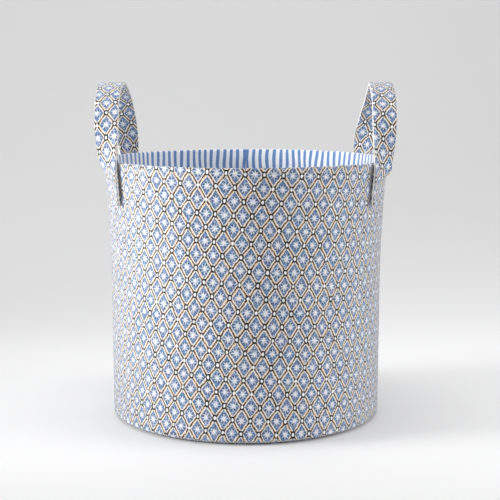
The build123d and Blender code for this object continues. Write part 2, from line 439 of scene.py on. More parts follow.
def wall_layer(name, tub, thread, shown, hidden, side, groove, material):
    """One layer of the wall: its section carried round the axis, with the wall's waver. Its
    shown face dips along the back seam and under the rim's row of stitches."""
    stitch_height = tub.wall_height - thread.rim_drop
    section, run, face_share = layer_section(tub, stitch_height, shown, hidden, side)
    angles = round_angles(tub)[:, None]
    radius, height = section.T
    beside_seam = tub.rim_radius * (math.pi - np.abs(angles)) / SEAM_REACH
    beside_row = (height - stitch_height) / ROW_REACH
    dip = tub.seam_depth * np.exp(-(beside_seam**2)) + groove * np.exp(-(beside_row**2))
    facing = 1 if side >= 0 else -1
    radius = radius + waver(tub, angles, height) - facing * face_share * dip
    across = np.append(angles[:, 0], math.pi) * cloth_radius(tub)
    uv = np.stack(np.meshgrid(across, np.append(run, run[0]), indexing="ij"), -1)
    return ring_piece(name, on_round(radius, angles, height), uv, material)


def disc_piece(name, radius, low, thickness, crown, material):
    """A round sheet with no pole: a square grid drawn out to a disc, where x becomes
    x sqrt(1 - y^2/2) and y becomes y sqrt(1 - x^2/2). Its middle rises by crown."""
    side = np.sin(np.linspace(-math.pi / 2, math.pi / 2, 65))
    x, y = np.meshgrid(side, side, indexing="ij")
    flat = radius * np.stack([x * np.sqrt(1 - y**2 / 2), y * np.sqrt(1 - x**2 / 2)], -1)
    share = np.sum(flat**2, -1) / radius**2
    across, back = np.moveaxis(flat * RIPPLE_TURNS, -1, 0)
    ripple = DISC_RIPPLE * np.sin(across + 1) * np.sin(back + 2)
    rise = low + (crown + ripple) * (1 - share)
    sheet = np.concatenate([flat, rise[..., None]], -1)
    faces, _ = grid_faces(*sheet.shape[:2])
    count = sheet.shape[0] * sheet.shape[1]
    numbers = np.arange(count).reshape(sheet.shape[:2])
    edge = np.concatenate(
        [numbers[:-1, 0], numbers[-1, :-1], numbers[:0:-1, -1], numbers[0, :0:-1]]
    )
    band = np.stack([edge, np.roll(edge, -1), np.roll(edge, -1) + count, edge + count], -1)
    points = np.concatenate([sheet, sheet + [0, 0, thickness]]).reshape(-1, 3)
    spots = np.concatenate([flat, flat]).reshape(-1, 2)
    groups = [faces[:, ::-1], faces + count, band]
    return make_piece(name, points, groups, [spots[group] for group in groups], material)


# Shape of a strap, written for the handle at +X

# Stations along a leg run from -1 at the top of the sewn end over 0 at the rim to 1 at the crown
CURL_START, CURL_FADE = -0.7, 0.8  # a sewn end's curl, from where it fades and over how far
HEEL_PLACE, HEEL_REACH = -0.35, 0.6  # middle and half length of the right front leg's lift
SWAY_PLACE, SWAY_REACH = 1.4, 0.6  # the same of the right far leg's sway


def strap_thickness(strap):
    """The tape with a strip and a gap on each face."""
    return 2 * (strap.strip_cloth + strap.layer_gap) + strap.webbing


def leg_stand_off(strap, rise):
    """Middle of the strap off the wall, at that rise above the rim or, if negative, below it."""
    share = (rise + strap.free_drop) / (strap.lift_rise + strap.free_drop)
    return strap.layer_gap + strap_thickness(strap) / 2 + strap.leg_lift * smooth_step(share)


def strap_arch(tub, strap):
    """The arch's start as a point and as an angle, its turn up to the crown, its centre height,
    its half span and its rise."""
    radius, height = off_wall(tub, tub.wall_height, leg_stand_off(strap, 0))
    start = radius * np.array([math.cos(strap.leg_angle), -math.sin(strap.leg_angle)])
    centre = tub.wall_height + strap.arch_centre_rise
    rise = strap.top - strap_thickness(strap) / 2 - centre
    first = math.asin((height - centre) / rise)
    return start[0], height, first, math.pi / 2 - first, centre, -start[1] / math.cos(first), rise


def leg_line(tub, strap, station):
    """Middle line of the front leg. Below the rim it swings off the wall, and above the rim it
    follows an ellipse that leans out."""
    leg_x, leg_z, first, turn, centre, half_span, rise = strap_arch(tub, strap)
    drop = strap.free_drop * np.minimum(station, 0)
    radius, height = off_wall(tub, tub.wall_height + drop, leg_stand_off(strap, drop))
    below = np.stack(
        [radius * math.cos(strap.leg_angle), -radius * math.sin(strap.leg_angle), height], -1
    )
    upper = np.maximum(station, 0)
    height = centre + rise * np.sin(first + turn * upper)
    swing = leg_stand_off(strap, height - leg_z) - leg_stand_off(strap, 0)
    x = leg_x + swing * math.cos(strap.leg_angle) + strap.lean * np.sin(math.pi / 2 * upper)
    above = np.stack([x, -half_span * np.cos(first + turn * upper), height], -1)
    return np.where((station <= 0)[..., None], below, above)


def strap_frame(tub, strap, station):
    """Middle, across and out-of-face directions of the strap. Past the crown, at stations over
    1, the other leg is the mirror image of the first. The strap turns from flat on the wall to
    square with the handle by a share 1 - exp(-(run / length)^power) of the whole turn."""
    front = np.minimum(station, 2 - station)
    step = 0.001
    along = leg_line(tub, strap, np.minimum(front + step, 1))
    along = along - leg_line(tub, strap, np.minimum(front, 1 - step) - step)
    _, _, _, turn, _, half_span, rise = strap_arch(tub, strap)
    run = strap.free_drop * (1 + np.minimum(front, 0))
    run = run + turn * (rise + half_span) / 2 * np.maximum(front, 0)
    twist = 1 - np.exp(-((np.maximum(run, 0) / strap.twist_length) ** strap.twist_power))
    facing = strap.leg_angle + (math.pi / 2 - strap.leg_angle) * twist
    across = np.stack([-np.sin(facing), -np.cos(facing), np.zeros_like(facing)], -1)
    middle = leg_line(tub, strap, front)
    far = (station > 1)[..., None]
    middle = np.where(far, middle * [1, -1, 1], middle)
    across = np.where(far, across * [1, -1, 1], across)
    along = np.where(far, along * [-1, 1, -1], along)
    along = along / np.linalg.norm(along, axis=-1, keepdims=True)
    across = across - along * np.sum(across * along, -1, keepdims=True)
    across = across / np.linalg.norm(across, axis=-1, keepdims=True)
    return middle, across, np.cross(along, across)


def strap_points(tub, strap, side, station, across, off):
    """Points of the strap on the side 1 for right or -1 for left, at stations along it,
    distances across it and distances off its middle. Towards its outer edge a sewn end curls
    off the wall by a soft step across it, which fades out at the rim. The right handle also
    strays: its front leg lifts off by the heel, and its far leg sways out below the crown."""
    middle, cross, out = strap_frame(tub, strap, station)
    front = np.minimum(station, 2 - station)
    place = across / strap.width + 0.5
    fade = smooth_step((front - CURL_START) / CURL_FADE)
    curl = strap.edge_lift * smooth_step(place) * (1 - fade)
    sway = np.zeros_like(station)
    if side > 0:
        heel = hump((station - HEEL_PLACE) / HEEL_REACH)
        curl = curl + strap.heel_lift * (1 - place) ** 2 * heel
        sway = strap.far_sway * hump((station - SWAY_PLACE) / SWAY_REACH)
    points = middle + across[..., None] * cross + (off + curl)[..., None] * out
    points = points + sway[..., None] * [1, 0, 0]
    return turned(points, strap.handle_turn) * [side, 1, 1]


def strap_stations(strap):
    """Stations from the foot of the front sewn end over the crown to the foot of the other."""
    foot = -1 - strap.tab_length / strap.free_drop
    leg = np.linspace(foot, 0, 27)[:-1]
    return np.concatenate([leg, np.linspace(0, 2, 121), 2 - leg[::-1]])


def strip_section(half_width, low, high):
    """Closed section of a flat strip with half-round edges, as distances across and off."""
    radius = (high - low) / 2
    flat = np.linspace(-1, 1, 13) * (half_width - radius)
    turn = np.linspace(math.pi / 2, -math.pi / 2, 7)[1:-1]
    edge = half_width - radius + radius * np.cos(turn)
    level = (low + high) / 2 + radius * np.sin(turn)
    across = np.concatenate([flat, edge, flat[::-1], -edge[::-1]])
    off = np.concatenate([np.full(len(flat), high), level, np.full(len(flat), low), level[::-1]])
    return across, off


def strap_layer(name, tub, strap, look, side, low, high, half_width, material, shift):
    """One layer of a strap, from low to high off its middle, carried from end to end. Its UV
    runs round the section and along the strap from the crown, turned so that the print's rows
    lie square across it, with a dot at shift."""
    station = strap_stations(strap)
    across, off = strip_section(half_width, low, high)
    grid = strap_points(tub, strap, side, *np.broadcast_arrays(station[:, None], across, off))
    middle = strap_frame(tub, strap, station)[0]
    along = running_length(middle)
    along = along - along[-1] / 2
    around = running_length(np.stack([across, off], -1)) + across[0]
    closing = around[-1] + math.hypot(across[-1] - across[0], off[-1] - off[0])
    run, across = np.meshgrid(along, np.append(around, closing), indexing="ij")
    cosine, sine = math.cos(look.tilt), math.sin(look.tilt)
    run, across = run - shift[1], across - shift[0]
    uv = np.stack([across * cosine + run * sine, run * cosine - across * sine], -1)
    uv += (look.dot_across, look.dot_up)
    return sweep_piece(name, grid, uv, material), along[-1] * 2


# Thread

STITCH_ARCH, STITCH_SINK = 0.75, 0.45  # a stitch's rise and its ends' depth, in thread widths


def thread_piece(name, starts, ends, outs, thread, material):
    """Stitches, each a six-sided tube from its start to its end. Its middle line rises off the
    cloth as the root of a half sine, and its radius swells from the ends to the middle."""
    share = np.linspace(0, 1, 6)[None, :, None]
    swell = np.sqrt(np.sin(math.pi * share))
    run = ends - starts
    sideways = np.cross(run, outs)
    sideways = sideways / np.linalg.norm(sideways, axis=-1, keepdims=True)
    rise = thread.width * (STITCH_ARCH * swell - STITCH_SINK)
    line = starts[:, None] + run[:, None] * share + outs[:, None] * rise
    radius = thread.width / 2 * (0.5 + 0.5 * swell)
    turn = np.linspace(0, 2 * math.pi, 6, endpoint=False)[None, None, :, None]
    ring = np.cos(turn) * sideways[:, None, None] + np.sin(turn) * outs[:, None, None]
    grid = line[:, :, None] + radius[:, :, None] * ring
    count, rings, sides = grid.shape[:3]
    faces, (row, column) = grid_faces(rings, sides, closed_columns=True)
    caps = np.stack([np.arange(sides)[::-1], np.arange(sides) + (rings - 1) * sides])
    number = (np.arange(count) * rings * sides)[:, None, None]
    groups = [(group + number).reshape(-1, group.shape[1]) for group in (faces, caps)]
    spots = np.stack([row * thread.stitch / (rings - 1), column * thread.width / 2], -1)
    cap_spots = np.zeros((count * len(caps), sides, 2))
    uvs = [np.tile(spots, (count, 1, 1)), cap_spots]
    return make_piece(name, grid, groups, uvs, material)


def stitch_row(start, end, thread):
    """Stitches in a straight row on flat cloth, as pairs of end points."""
    start, end = np.array(start), np.array(end)
    distance = np.linalg.norm(end - start)
    count = max(1, round(distance / thread.pitch))
    middle = ((np.arange(count) + 0.5) / count)[:, None]
    half = thread.stitch / 2 / distance
    return start + (end - start) * (middle - half), start + (end - start) * (middle + half)


# Materials


class Field:
    """A number that varies over a surface, held as a shader socket. Arithmetic on fields adds
    Math nodes to their tree."""

    def __init__(self, tree, socket):
        self.tree, self.socket = tree, socket

    def math(self, operation, *terms):
        """One Math node on this field and other fields or plain numbers."""
        node = self.tree.nodes.new("ShaderNodeMath")
        node.operation = operation
        for entry, term in zip(node.inputs, (self, *terms)):
            if isinstance(term, Field):
                self.tree.links.new(term.socket, entry)
            else:
                entry.default_value = term
        return Field(self.tree, node.outputs[0])

    def __add__(self, other):
        return self.math("ADD", other)

    def __mul__(self, other):
        return self.math("MULTIPLY", other)

    def __sub__(self, other):
        return self.math("SUBTRACT", other)

    def __rsub__(self, other):
        return self.math("MULTIPLY_ADD", -1.0, other)

    def __truediv__(self, other):
        return self.math("DIVIDE", other)

    def __abs__(self):
        return self.math("ABSOLUTE")

    def most(self, other):
        return self.math("MAXIMUM", other)

    def sine(self):
        return self.math("SINE")

    def whole(self):
        return self.math("FLOOR")

    def offset(self):
        """Distance from the nearest whole number, with its sign."""
        return self - self.math("ROUND")

    def about(self, width):
        """Noise around 0.5 brought to lie around 0, and that many times as wide."""
        return (self - 0.5) * width

    def ramp(self, low, high):
        """0 at low and 1 at high with a soft step between, which falls if low is the larger."""
        node = self.tree.nodes.new("ShaderNodeMapRange")
        node.interpolation_type = "SMOOTHSTEP"
        rising = low < high
        node.inputs["From Min"].default_value = min(low, high)
        node.inputs["From Max"].default_value = max(low, high)
        node.inputs["To Min"].default_value = 0.0 if rising else 1.0
        node.inputs["To Max"].default_value = 1.0 if rising else 0.0
        self.tree.links.new(self.socket, node.inputs["Value"])
        return Field(self.tree, node.outputs["Result"])


FUZZ = (0.96, 0.97, 1.0)  # colour of the light that loose fibres scatter

# Painted shade that a finish takes on in its hollows, and the tones of a board's pulp and fibres
PRINT_PAINTED_SHADE = (0.50, 0.50, 0.52)
LINING_PAINTED_SHADE = (0.66, 0.68, 0.74)
TAPE_PAINTED_SHADE = (0.52, 0.48, 0.42)
THREAD_PAINTED_SHADE = (0.42, 0.42, 0.44)
FOAM_PAINTED_SHADE = (0.58, 0.55, 0.48)
PULP_PALE = (0.50, 0.43, 0.34)
FIBRE_DARK = (0.16, 0.13, 0.10)

# Cloth and thread, in millimetres
PRINT_YARN, LINING_YARN = 0.55, 0.45  # from one yarn to the next
TAPE_RIB = 1.4  # from one rib of the tape to the next
PLY_ALONG, PLY_ROUND = 0.7, 0.6  # from one ply of a thread to the next
STRIPE_STRAY, STRIPE_SWAY = 6, 8  # spread of the stripes' short and long wander

# Drawing of the print, in millimetres
EDGE_STRAY, ROW_DRIFT = 1.8, 1.6  # spread of strayed edges and of drifting rows
LINE_STRAY = 3.0  # spread of a bar's band and line, which stray opposite ways
STAR_REACH, STAR_SPREAD = 5.6, 1.4  # shortest ray, and how much longer one can be
STAR_SHIFT = 1.4  # spread of the stars up and down
STAR_TURN = 0.3  # spread of their turns, in radians
STAR_SQUASH = 0.92  # a star's width over its height
RAY_HALF = 0.48  # half width of a ray at its root
DOT_WIDE, DOT_HIGH = 1.45, 2.05  # about half the width and height of a dot's white oval


class Cloth:
    """A material in the making: its node tree, its shader, and the place that its patterns read,
    on the flat cloth or, for a piece that has none, in space."""

    def __init__(self, name, roughness, sheen, in_space=False):
        self.material = bpy.data.materials.new(name)
        self.material.use_nodes = True
        self.tree = self.material.node_tree
        self.node, self.link = self.tree.nodes.new, self.tree.links.new
        self.shader = self.tree.nodes["Principled BSDF"]
        self.shader.inputs["Roughness"].default_value = roughness
        self.shader.inputs["Specular IOR Level"].default_value = 0.25
        self.shader.inputs["Sheen Weight"].default_value = sheen
        self.shader.inputs["Sheen Roughness"].default_value = 0.45
        self.set(self.shader.inputs["Sheen Tint"], FUZZ)
        if in_space:
            self.place = self.node("ShaderNodeTexCoord").outputs["Object"]
        else:
            flat = self.node("ShaderNodeUVMap")
            flat.uv_map = UV_NAME
            self.place = flat.outputs["UV"]

    def flat_place(self):
        """Place on the flat cloth in millimetres, as two fields."""
        scale = self.node("ShaderNodeVectorMath")
        scale.operation = "SCALE"
        scale.inputs["Scale"].default_value = 1 / MM
        self.link(self.place, scale.inputs[0])
        split = self.node("ShaderNodeSeparateXYZ")
        self.link(scale.outputs["Vector"], split.inputs[0])
        return Field(self.tree, split.outputs["X"]), Field(self.tree, split.outputs["Y"])

    def parts(self, colour):
        """The three parts of a colour, as fields."""
        split = self.node("ShaderNodeSeparateColor")
        self.link(colour, split.inputs[0])
        return [Field(self.tree, part) for part in split.outputs]

    def noise(self, grain, detail=1.0, swirl=0.0):
        """Three unlike fields of soft noise around 0.5, with lumps about grain millimetres wide."""
        node = self.node("ShaderNodeTexNoise")
        node.inputs["Scale"].default_value = 1 / (grain * MM)
        node.inputs["Detail"].default_value = detail
        node.inputs["Distortion"].default_value = swirl
        self.link(self.place, node.inputs["Vector"])
        return self.parts(node.outputs["Color"])

    def chance(self, across, up):
        """Three unlike fields that are the same all over a cell, given by two whole numbers."""
        join = self.node("ShaderNodeCombineXYZ")
        self.link(across.socket, join.inputs["X"])
        self.link(up.socket, join.inputs["Y"])
        node = self.node("ShaderNodeTexWhiteNoise")
        self.link(join.outputs[0], node.inputs["Vector"])
        return self.parts(node.outputs["Color"])

    def mix(self, under, over, share, mode="MIX"):
        """One colour over another by a share, a field or a number. A colour is a socket or
        three numbers."""
        node = self.node("ShaderNodeMix")
        node.data_type = "RGBA"
        node.blend_type = mode
        if isinstance(share, Field):
            self.link(share.socket, node.inputs["Factor"])
        else:
            node.inputs["Factor"].default_value = share
        self.set(node.inputs["A"], under)
        self.set(node.inputs["B"], over)
        return node.outputs["Result"]

    def set(self, entry, term):
        """Gives an input its colour, a socket or three numbers."""
        if isinstance(term, bpy.types.NodeSocket):
            self.link(term, entry)
        else:
            entry.default_value = (*term, 1.0)

    def finish(self, colour, height, depth):
        """Links the colour, and the surface's height as a bump that many metres deep."""
        self.link(colour, self.shader.inputs["Base Color"])
        bump = self.node("ShaderNodeBump")
        bump.inputs["Strength"].default_value = 0.6
        bump.inputs["Distance"].default_value = depth
        self.link(height.socket, bump.inputs["Height"])
        self.link(bump.outputs["Normal"], self.shader.inputs["Normal"])
        return self.material


def plain_weave(x, y, yarn):
    """Height of a plain weave from 0 to 1: crossing yarns with round backs, where each passes
    over every other one it meets."""
    column, row = x / yarn, y / yarn
    turn = ((column.whole() + row.whole()) / 2).math("FRACT") * 2
    warp = abs((column * math.pi).sine())
    weft = abs((row * math.pi).sine())
    return warp * turn + weft * (1 - turn)


def trellis_print(look):
    """Printed cotton: a trellis of barred diamonds with a ringed dot on each crossing and an
    eight-rayed star in each diamond, its edges strayed as in a hand print.

    With x and y counted in diamonds along the tilted rows, the bars lie where x + y or x - y is
    whole, the dots where both are, and the stars half-way between."""
    cloth = Cloth("printed cotton", 0.85, 1.0)
    u, v = cloth.flat_place()
    wobble = cloth.noise(7)
    drift = cloth.noise(45)
    across = u - look.dot_across / MM + wobble[0].about(EDGE_STRAY) + drift[0].about(ROW_DRIFT)
    up = v - look.dot_up / MM + wobble[1].about(EDGE_STRAY) + drift[1].about(ROW_DRIFT)
    pitch, rise = look.pitch / MM, look.rise / MM
    cosine, sine = math.cos(look.tilt), math.sin(look.tilt)
    x = (across * cosine - up * sine) / pitch
    y = (across * sine + up * cosine) / rise
    rising, falling = x + y, x - y

    # Bars: distance off the nearer one in millimetres, and 0 at a crossing to 0.5 half-way
    between = pitch * rise / math.hypot(pitch, rise)
    rising_off, falling_off = rising.offset(), falling.offset()
    nearer = abs(rising_off).math("LESS_THAN", abs(falling_off))
    off_bar = (rising_off * nearer + falling_off * (1 - nearer)) * between
    reach = abs(rising_off).most(abs(falling_off))
    patch = cloth.noise(11, 0.0)
    fine = cloth.noise(2.0)
    speck = cloth.noise(1.5)
    bar = abs(off_bar) + (fine[0] - 0.5)

    # Stars: place from the middle of the diamond in millimetres
    rising_cell, falling_cell = rising.whole(), falling.whole()
    luck = cloth.chance(rising_cell, falling_cell)
    rising_part, falling_part = rising - rising_cell, falling - falling_cell
    star_x = (rising_part + falling_part - 1) * (pitch / 2) + (luck[0] - 0.5)
    star_y = (rising_part - falling_part) * (rise / 2) + luck[1].about(STAR_SHIFT)
    star_y = star_y * STAR_SQUASH
    distance = (star_x * star_x + star_y * star_y).math("SQRT")
    bearing = star_y.math("ARCTAN2", star_x) + luck[2].about(STAR_TURN)
    ray = abs((bearing * 4).sine())
    size = distance / (luck[1] * STAR_SPREAD + STAR_REACH)
    thin = 1 - size * size
    star = (distance * ray / 4 - thin * RAY_HALF + (speck[1] - 0.5)).ramp(0.25, -0.25)
    star = star * size.ramp(1.05, 0.75)

    # Ground of the diamonds, with dark touches between the rays and beside the bars
    tone = (luck[0] * 0.6 + patch[0] * 0.9 - 0.25).ramp(0.0, 1.0)
    ground = cloth.mix(look.blue, look.periwinkle, tone)
    haze = (speck[0] * 0.6 + patch[1] * 0.5).ramp(0.5, 0.85) * 0.25 + size.ramp(0.95, 0.3) * 0.3
    ground = cloth.mix(ground, look.white, haze)
    fleck = cloth.noise(1.9, 0.0)
    ground = cloth.mix(ground, look.navy, fleck[0].ramp(0.46, 0.32) * 0.8)
    ground = cloth.mix(ground, look.white, fleck[1].ramp(0.57, 0.72) * 0.5)
    dark = ray.ramp(0.5, 0.95) * abs(distance - 4.8).ramp(1.8, 0.3) * speck[0].ramp(0.34, 0.50)
    border = bar.ramp(4.6, 2.9) * fine[1].ramp(0.40, 0.56)
    ground = cloth.mix(ground, look.navy, dark.most(border) * 0.9)
    ground = cloth.mix(ground, look.white, star * 0.74)
    ground = cloth.mix(ground, look.cream, distance.ramp(1.7, 0.9) * luck[2] * 0.9)

    # Bars over the ground: cream edges, a tan band and a broken brown line that stray apart
    colour = cloth.mix(ground, look.cream, bar.ramp(2.85, 2.4))
    band = abs(off_bar + patch[2].about(LINE_STRAY))
    colour = cloth.mix(colour, look.tan, band.ramp(1.7, 0.9) * fine[2].ramp(0.30, 0.60) * 0.8)
    line = abs(off_bar - patch[2].about(LINE_STRAY) + fine[1].about(0.8))
    broken = (speck[2] + reach.ramp(0.4, 0.1) * 0.25).ramp(0.34, 0.46)
    colour = cloth.mix(colour, look.brown, line.ramp(1.2, 0.7) * broken)
    colour = cloth.mix(colour, look.ink, bar.ramp(1.1, 0.7) * reach.ramp(0.24, 0.16))

    # Dots: an ink ring round a white oval
    dot_x = (rising_off + falling_off) * (pitch / 2) / DOT_WIDE
    dot_y = (rising_off - falling_off) * (rise / 2) / DOT_HIGH
    dot = (dot_x * dot_x + dot_y * dot_y).math("SQRT") + fine[2].about(0.6)
    dot_luck = cloth.chance(rising.math("ROUND"), falling.math("ROUND"))
    dot = dot * (dot_luck[0] * 0.16 + 0.92)
    ring = (dot + dot_luck[1].about(0.25)).ramp(2.22, 2.06) * patch[1].ramp(0.28, 0.42)
    colour = cloth.mix(colour, look.ink, ring)
    colour = cloth.mix(colour, look.white, dot.ramp(1.14, 1.02))

    weave = plain_weave(u, v, PRINT_YARN)
    slub = cloth.noise(0.9, 2.0)[0]
    painted_shade = weave * 0.5 + slub
    # Painted shade: darker where the weave dips and where the yarn runs thin
    colour = cloth.mix(colour, PRINT_PAINTED_SHADE, painted_shade.ramp(0.80, 0.40) * 0.4, "MULTIPLY")
    # Fibres that took up dye scatter less
    cloth.set(cloth.shader.inputs["Sheen Tint"], cloth.mix(FUZZ, colour, 0.45))
    return cloth.finish(colour, weave + slub * 1.5, depth=0.22 * MM)


def striped_cloth(look):
    """Lining cotton: woven stripes along the cloth with slightly strayed edges and a fine weave."""
    cloth = Cloth("striped cotton", 0.85, 1.0)
    u, v = cloth.flat_place()
    stray = cloth.noise(34, 0.0)
    pitch = look.stripe_pitch / MM
    sway = cloth.noise(90, 0.0)
    place = (u + stray[0].about(STRIPE_STRAY) + sway[1].about(STRIPE_SWAY)) / pitch
    stripe = abs(place.offset()) * pitch
    half = look.stripe_share * pitch / 2
    share = stripe.ramp(half + 0.25, half - 0.25)
    yarn = abs((u * (math.pi / LINING_YARN)).sine())
    slub = cloth.noise(1.1, 2.0)[1]
    blue = cloth.mix(look.blue, look.white, (slub * 0.7 + yarn * 0.25).ramp(0.45, 0.95) * 0.4)
    colour = cloth.mix(look.white, blue, share * 0.95)
    weave = plain_weave(u, v, LINING_YARN)
    # Painted shade: darker where the weave dips and where the yarn runs thin
    painted_shade = (weave * 0.5 + slub).ramp(0.7, 0.35)
    colour = cloth.mix(colour, LINING_PAINTED_SHADE, painted_shade * 0.3, "MULTIPLY")
    return cloth.finish(colour, weave + slub, depth=0.18 * MM)


def twill_tape(look):
    """Cotton tape: slanting ribs of a twill that change hands along the middle, with lint."""
    cloth = Cloth("cotton tape", 0.9, 0.4)
    u, v = cloth.flat_place()
    slant = (abs(u) + v) / TAPE_RIB
    rib = abs((slant * math.pi).sine())
    lint = cloth.noise(1.3, 2.0)[0]
    painted_shade = (rib * 0.6 + lint * 0.7).ramp(0.85, 0.3)
    # Painted shade: darker in the grooves between the ribs and among the lint
    colour = cloth.mix(look.tape, TAPE_PAINTED_SHADE, painted_shade * 0.45)
    return cloth.finish(colour, rib + lint * 0.6, depth=0.3 * MM)


def sewing_thread(look):
    """Thread: two plies wound round each other, which show as slanting grooves."""
    cloth = Cloth("sewing thread", 0.7, 0.3)
    u, v = cloth.flat_place()
    ply = abs((u * (math.pi / PLY_ALONG) + v * (math.pi / PLY_ROUND)).sine())
    # Painted shade: darker in the grooves between the plies
    colour = cloth.mix(look.thread, THREAD_PAINTED_SHADE, ply.ramp(0.5, 0.05) * 0.6)
    return cloth.finish(colour, ply, depth=0.15 * MM)


def wall_foam(look):
    """Open-cell foam: small pits of varied depth."""
    cloth = Cloth("sewing foam", 0.95, 0.1)
    pit = cloth.noise(1.2, 3.0)[0]
    # Painted shade: darker in the deeper pits
    colour = cloth.mix(look.foam, FOAM_PAINTED_SHADE, pit.ramp(0.5, 0.3) * 0.6)
    return cloth.finish(colour, pit, depth=0.4 * MM)


def grey_board(look):
    """Pressed board: mottled pulp with dark fibres."""
    cloth = Cloth("grey board", 0.8, 0.0, in_space=True)
    pulp = cloth.noise(6, 4.0)
    fibre = cloth.noise(0.8, 2.0, 1.5)[0]
    colour = cloth.mix(look.board, PULP_PALE, pulp[0].ramp(0.35, 0.7) * 0.7)
    colour = cloth.mix(colour, FIBRE_DARK, fibre.ramp(0.62, 0.75) * 0.5)
    return cloth.finish(colour, fibre, depth=0.1 * MM)


def backdrop_paper(stage):
    """Plain pale studio paper with the faintest grain."""
    cloth = Cloth("backdrop paper", 0.7, 0.0, in_space=True)
    grain = cloth.noise(3, 2.0)[0]
    colour = cloth.mix(stage.floor, [0.97 * part for part in stage.floor], grain)
    return cloth.finish(colour, grain, depth=0.02 * MM)


def finish_named(name, maker, look):
    """The finish of that name, made on first use."""
    return bpy.data.materials.get(name) or maker(look)


# Operators

HANDLES = (("right", 1), ("left", -1))  # each handle's name and its side along X
OUTER_GROOVE, LINING_GROOVE = 0.3 * MM, 0.2 * MM  # depth under the rim's row of stitches
OUTER_CROWN, LINING_CROWN = 0.15 * MM, 0.5 * MM  # rise of a base cloth's middle
STRIP_INSET = 0.5 * MM  # a printed strip's edge inside the tape's
STRAP_DOTS = {"right": (2.5 * MM, 9.0 * MM), "left": (0.0, 10.9 * MM)}  # a dot near each crown
RIM_SINK = 0.25 * MM  # how deep the rim's row of stitches lies in the cloth


def on_bin(piece, node):
    """Puts a piece on the bin in place of a CAD node, which it hides."""
    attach(piece, "bin")
    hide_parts(node)


def cloth_wall(node, scene, cloth, shown, hidden, side, groove):
    """A wall of sewn cloth. It was cut as long as the way round its shown face and as high as
    the wall with its turns."""
    tub = scene.bin_tub
    wall = wall_layer(f"{node}_cloth", tub, scene.bin_thread, shown, hidden, side, groove, cloth)
    on_bin(wall, node)


def cloth_disc(node, radius, cloth, low, thickness, crown):
    """A round cloth of the base."""
    disc = disc_piece(f"{node}_cloth", radius, low, thickness, crown, cloth)
    on_bin(disc, node)


class OuterWall(Operator):
    """Makes the printed wall and the printed disc under the base"""

    bl_idname = "storage_bin.outer_wall"
    bl_label = "Outer wall and base"

    def execute(self, context):
        scene, tub = context.scene, context.scene.bin_tub
        cloth = finish_named("printed cotton", trellis_print, scene.bin_print)
        cloth_wall(
            "outer_wall", scene, cloth, shown=0, hidden=tub.outer_cloth, side=1,
            groove=OUTER_GROOVE,
        )
        cloth_disc(
            "outer_base", tub.disc_radius, cloth, low=0,
            thickness=tub.outer_cloth, crown=OUTER_CROWN,
        )
        return {"FINISHED"}


class Core(Operator):
    """Makes the wall's foam and gives the base its board finish"""

    bl_idname = "storage_bin.core"
    bl_label = "Foam and board"

    def execute(self, context):
        scene = context.scene
        tub, thread = scene.bin_tub, scene.bin_thread
        finish = finish_named("sewing foam", wall_foam, scene.bin_lining)
        outside, inside = tub.outer_cloth, tub.outer_cloth + tub.core
        foam = wall_layer(
            "wall_foam_sheet", tub, thread, outside + tub.layer_gap, inside - tub.layer_gap, 0, 0,
            finish,
        )
        on_bin(foam, "wall_foam")
        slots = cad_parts["base_board"].data.materials
        slots.clear()
        slots.append(finish_named("grey board", grey_board, scene.bin_lining))
        return {"FINISHED"}


class Lining(Operator):
    """Makes the striped wall and base inside the bin"""

    bl_idname = "storage_bin.lining"
    bl_label = "Lining"

    def execute(self, context):
        scene, tub = context.scene, context.scene.bin_tub
        cloth = finish_named("striped cotton", striped_cloth, scene.bin_lining)
        inside = wall_thickness(tub)
        cloth_wall(
            "lining_wall", scene, cloth, shown=inside,
            hidden=inside - tub.lining_cloth, side=-1, groove=LINING_GROOVE,
        )
        cloth_disc(
            "base_lining", tub.disc_radius, cloth,
            low=tub.outer_cloth + tub.core, thickness=tub.lining_cloth, crown=LINING_CROWN,
        )
        return {"FINISHED"}


class Straps(Operator):
    """Makes both handles, each a tape between two printed strips, from sewn end to sewn end"""

    bl_idname = "storage_bin.straps"
    bl_label = "Handle straps"

    def execute(self, context):
        scene = context.scene
        tub, strap, look = scene.bin_tub, scene.bin_strap, scene.bin_print
        cloth = finish_named("printed cotton", trellis_print, look)
        tape = finish_named("cotton tape", twill_tape, scene.bin_lining)
        half = strap_thickness(strap) / 2
        tape_reach = strap.width / 2
        strip_reach = tape_reach - STRIP_INSET
        layers = {
            "inner_strip": (-half, strap.strip_cloth - half, strip_reach, cloth),
            "webbing": (-strap.webbing / 2, strap.webbing / 2, tape_reach, tape),
            "outer_strip": (half - strap.strip_cloth, half, strip_reach, cloth),
        }
        for name, side in HANDLES:
            shift = STRAP_DOTS[name]
            ends = [f"{name}_{end}" for end in ("front", "back")]
            for layer, (low, high, reach, finish) in layers.items():
                piece, run = strap_layer(
                    f"{name}_strap_{layer}", tub, strap, look, side, low, high, reach, finish, shift
                )
                nodes = [f"{end}_{part}_{layer}" for end in ends for part in ("tab", "bend")]
                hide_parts(f"{name}_handle_{layer}", *nodes)
                "webbing" if layer == "webbing" else "printed_cloth"
                bend_strap(piece)
        return {"FINISHED"}


def bend_strap(piece):
    """Bakes the place of a handle's piece into its mesh."""
    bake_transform(piece)


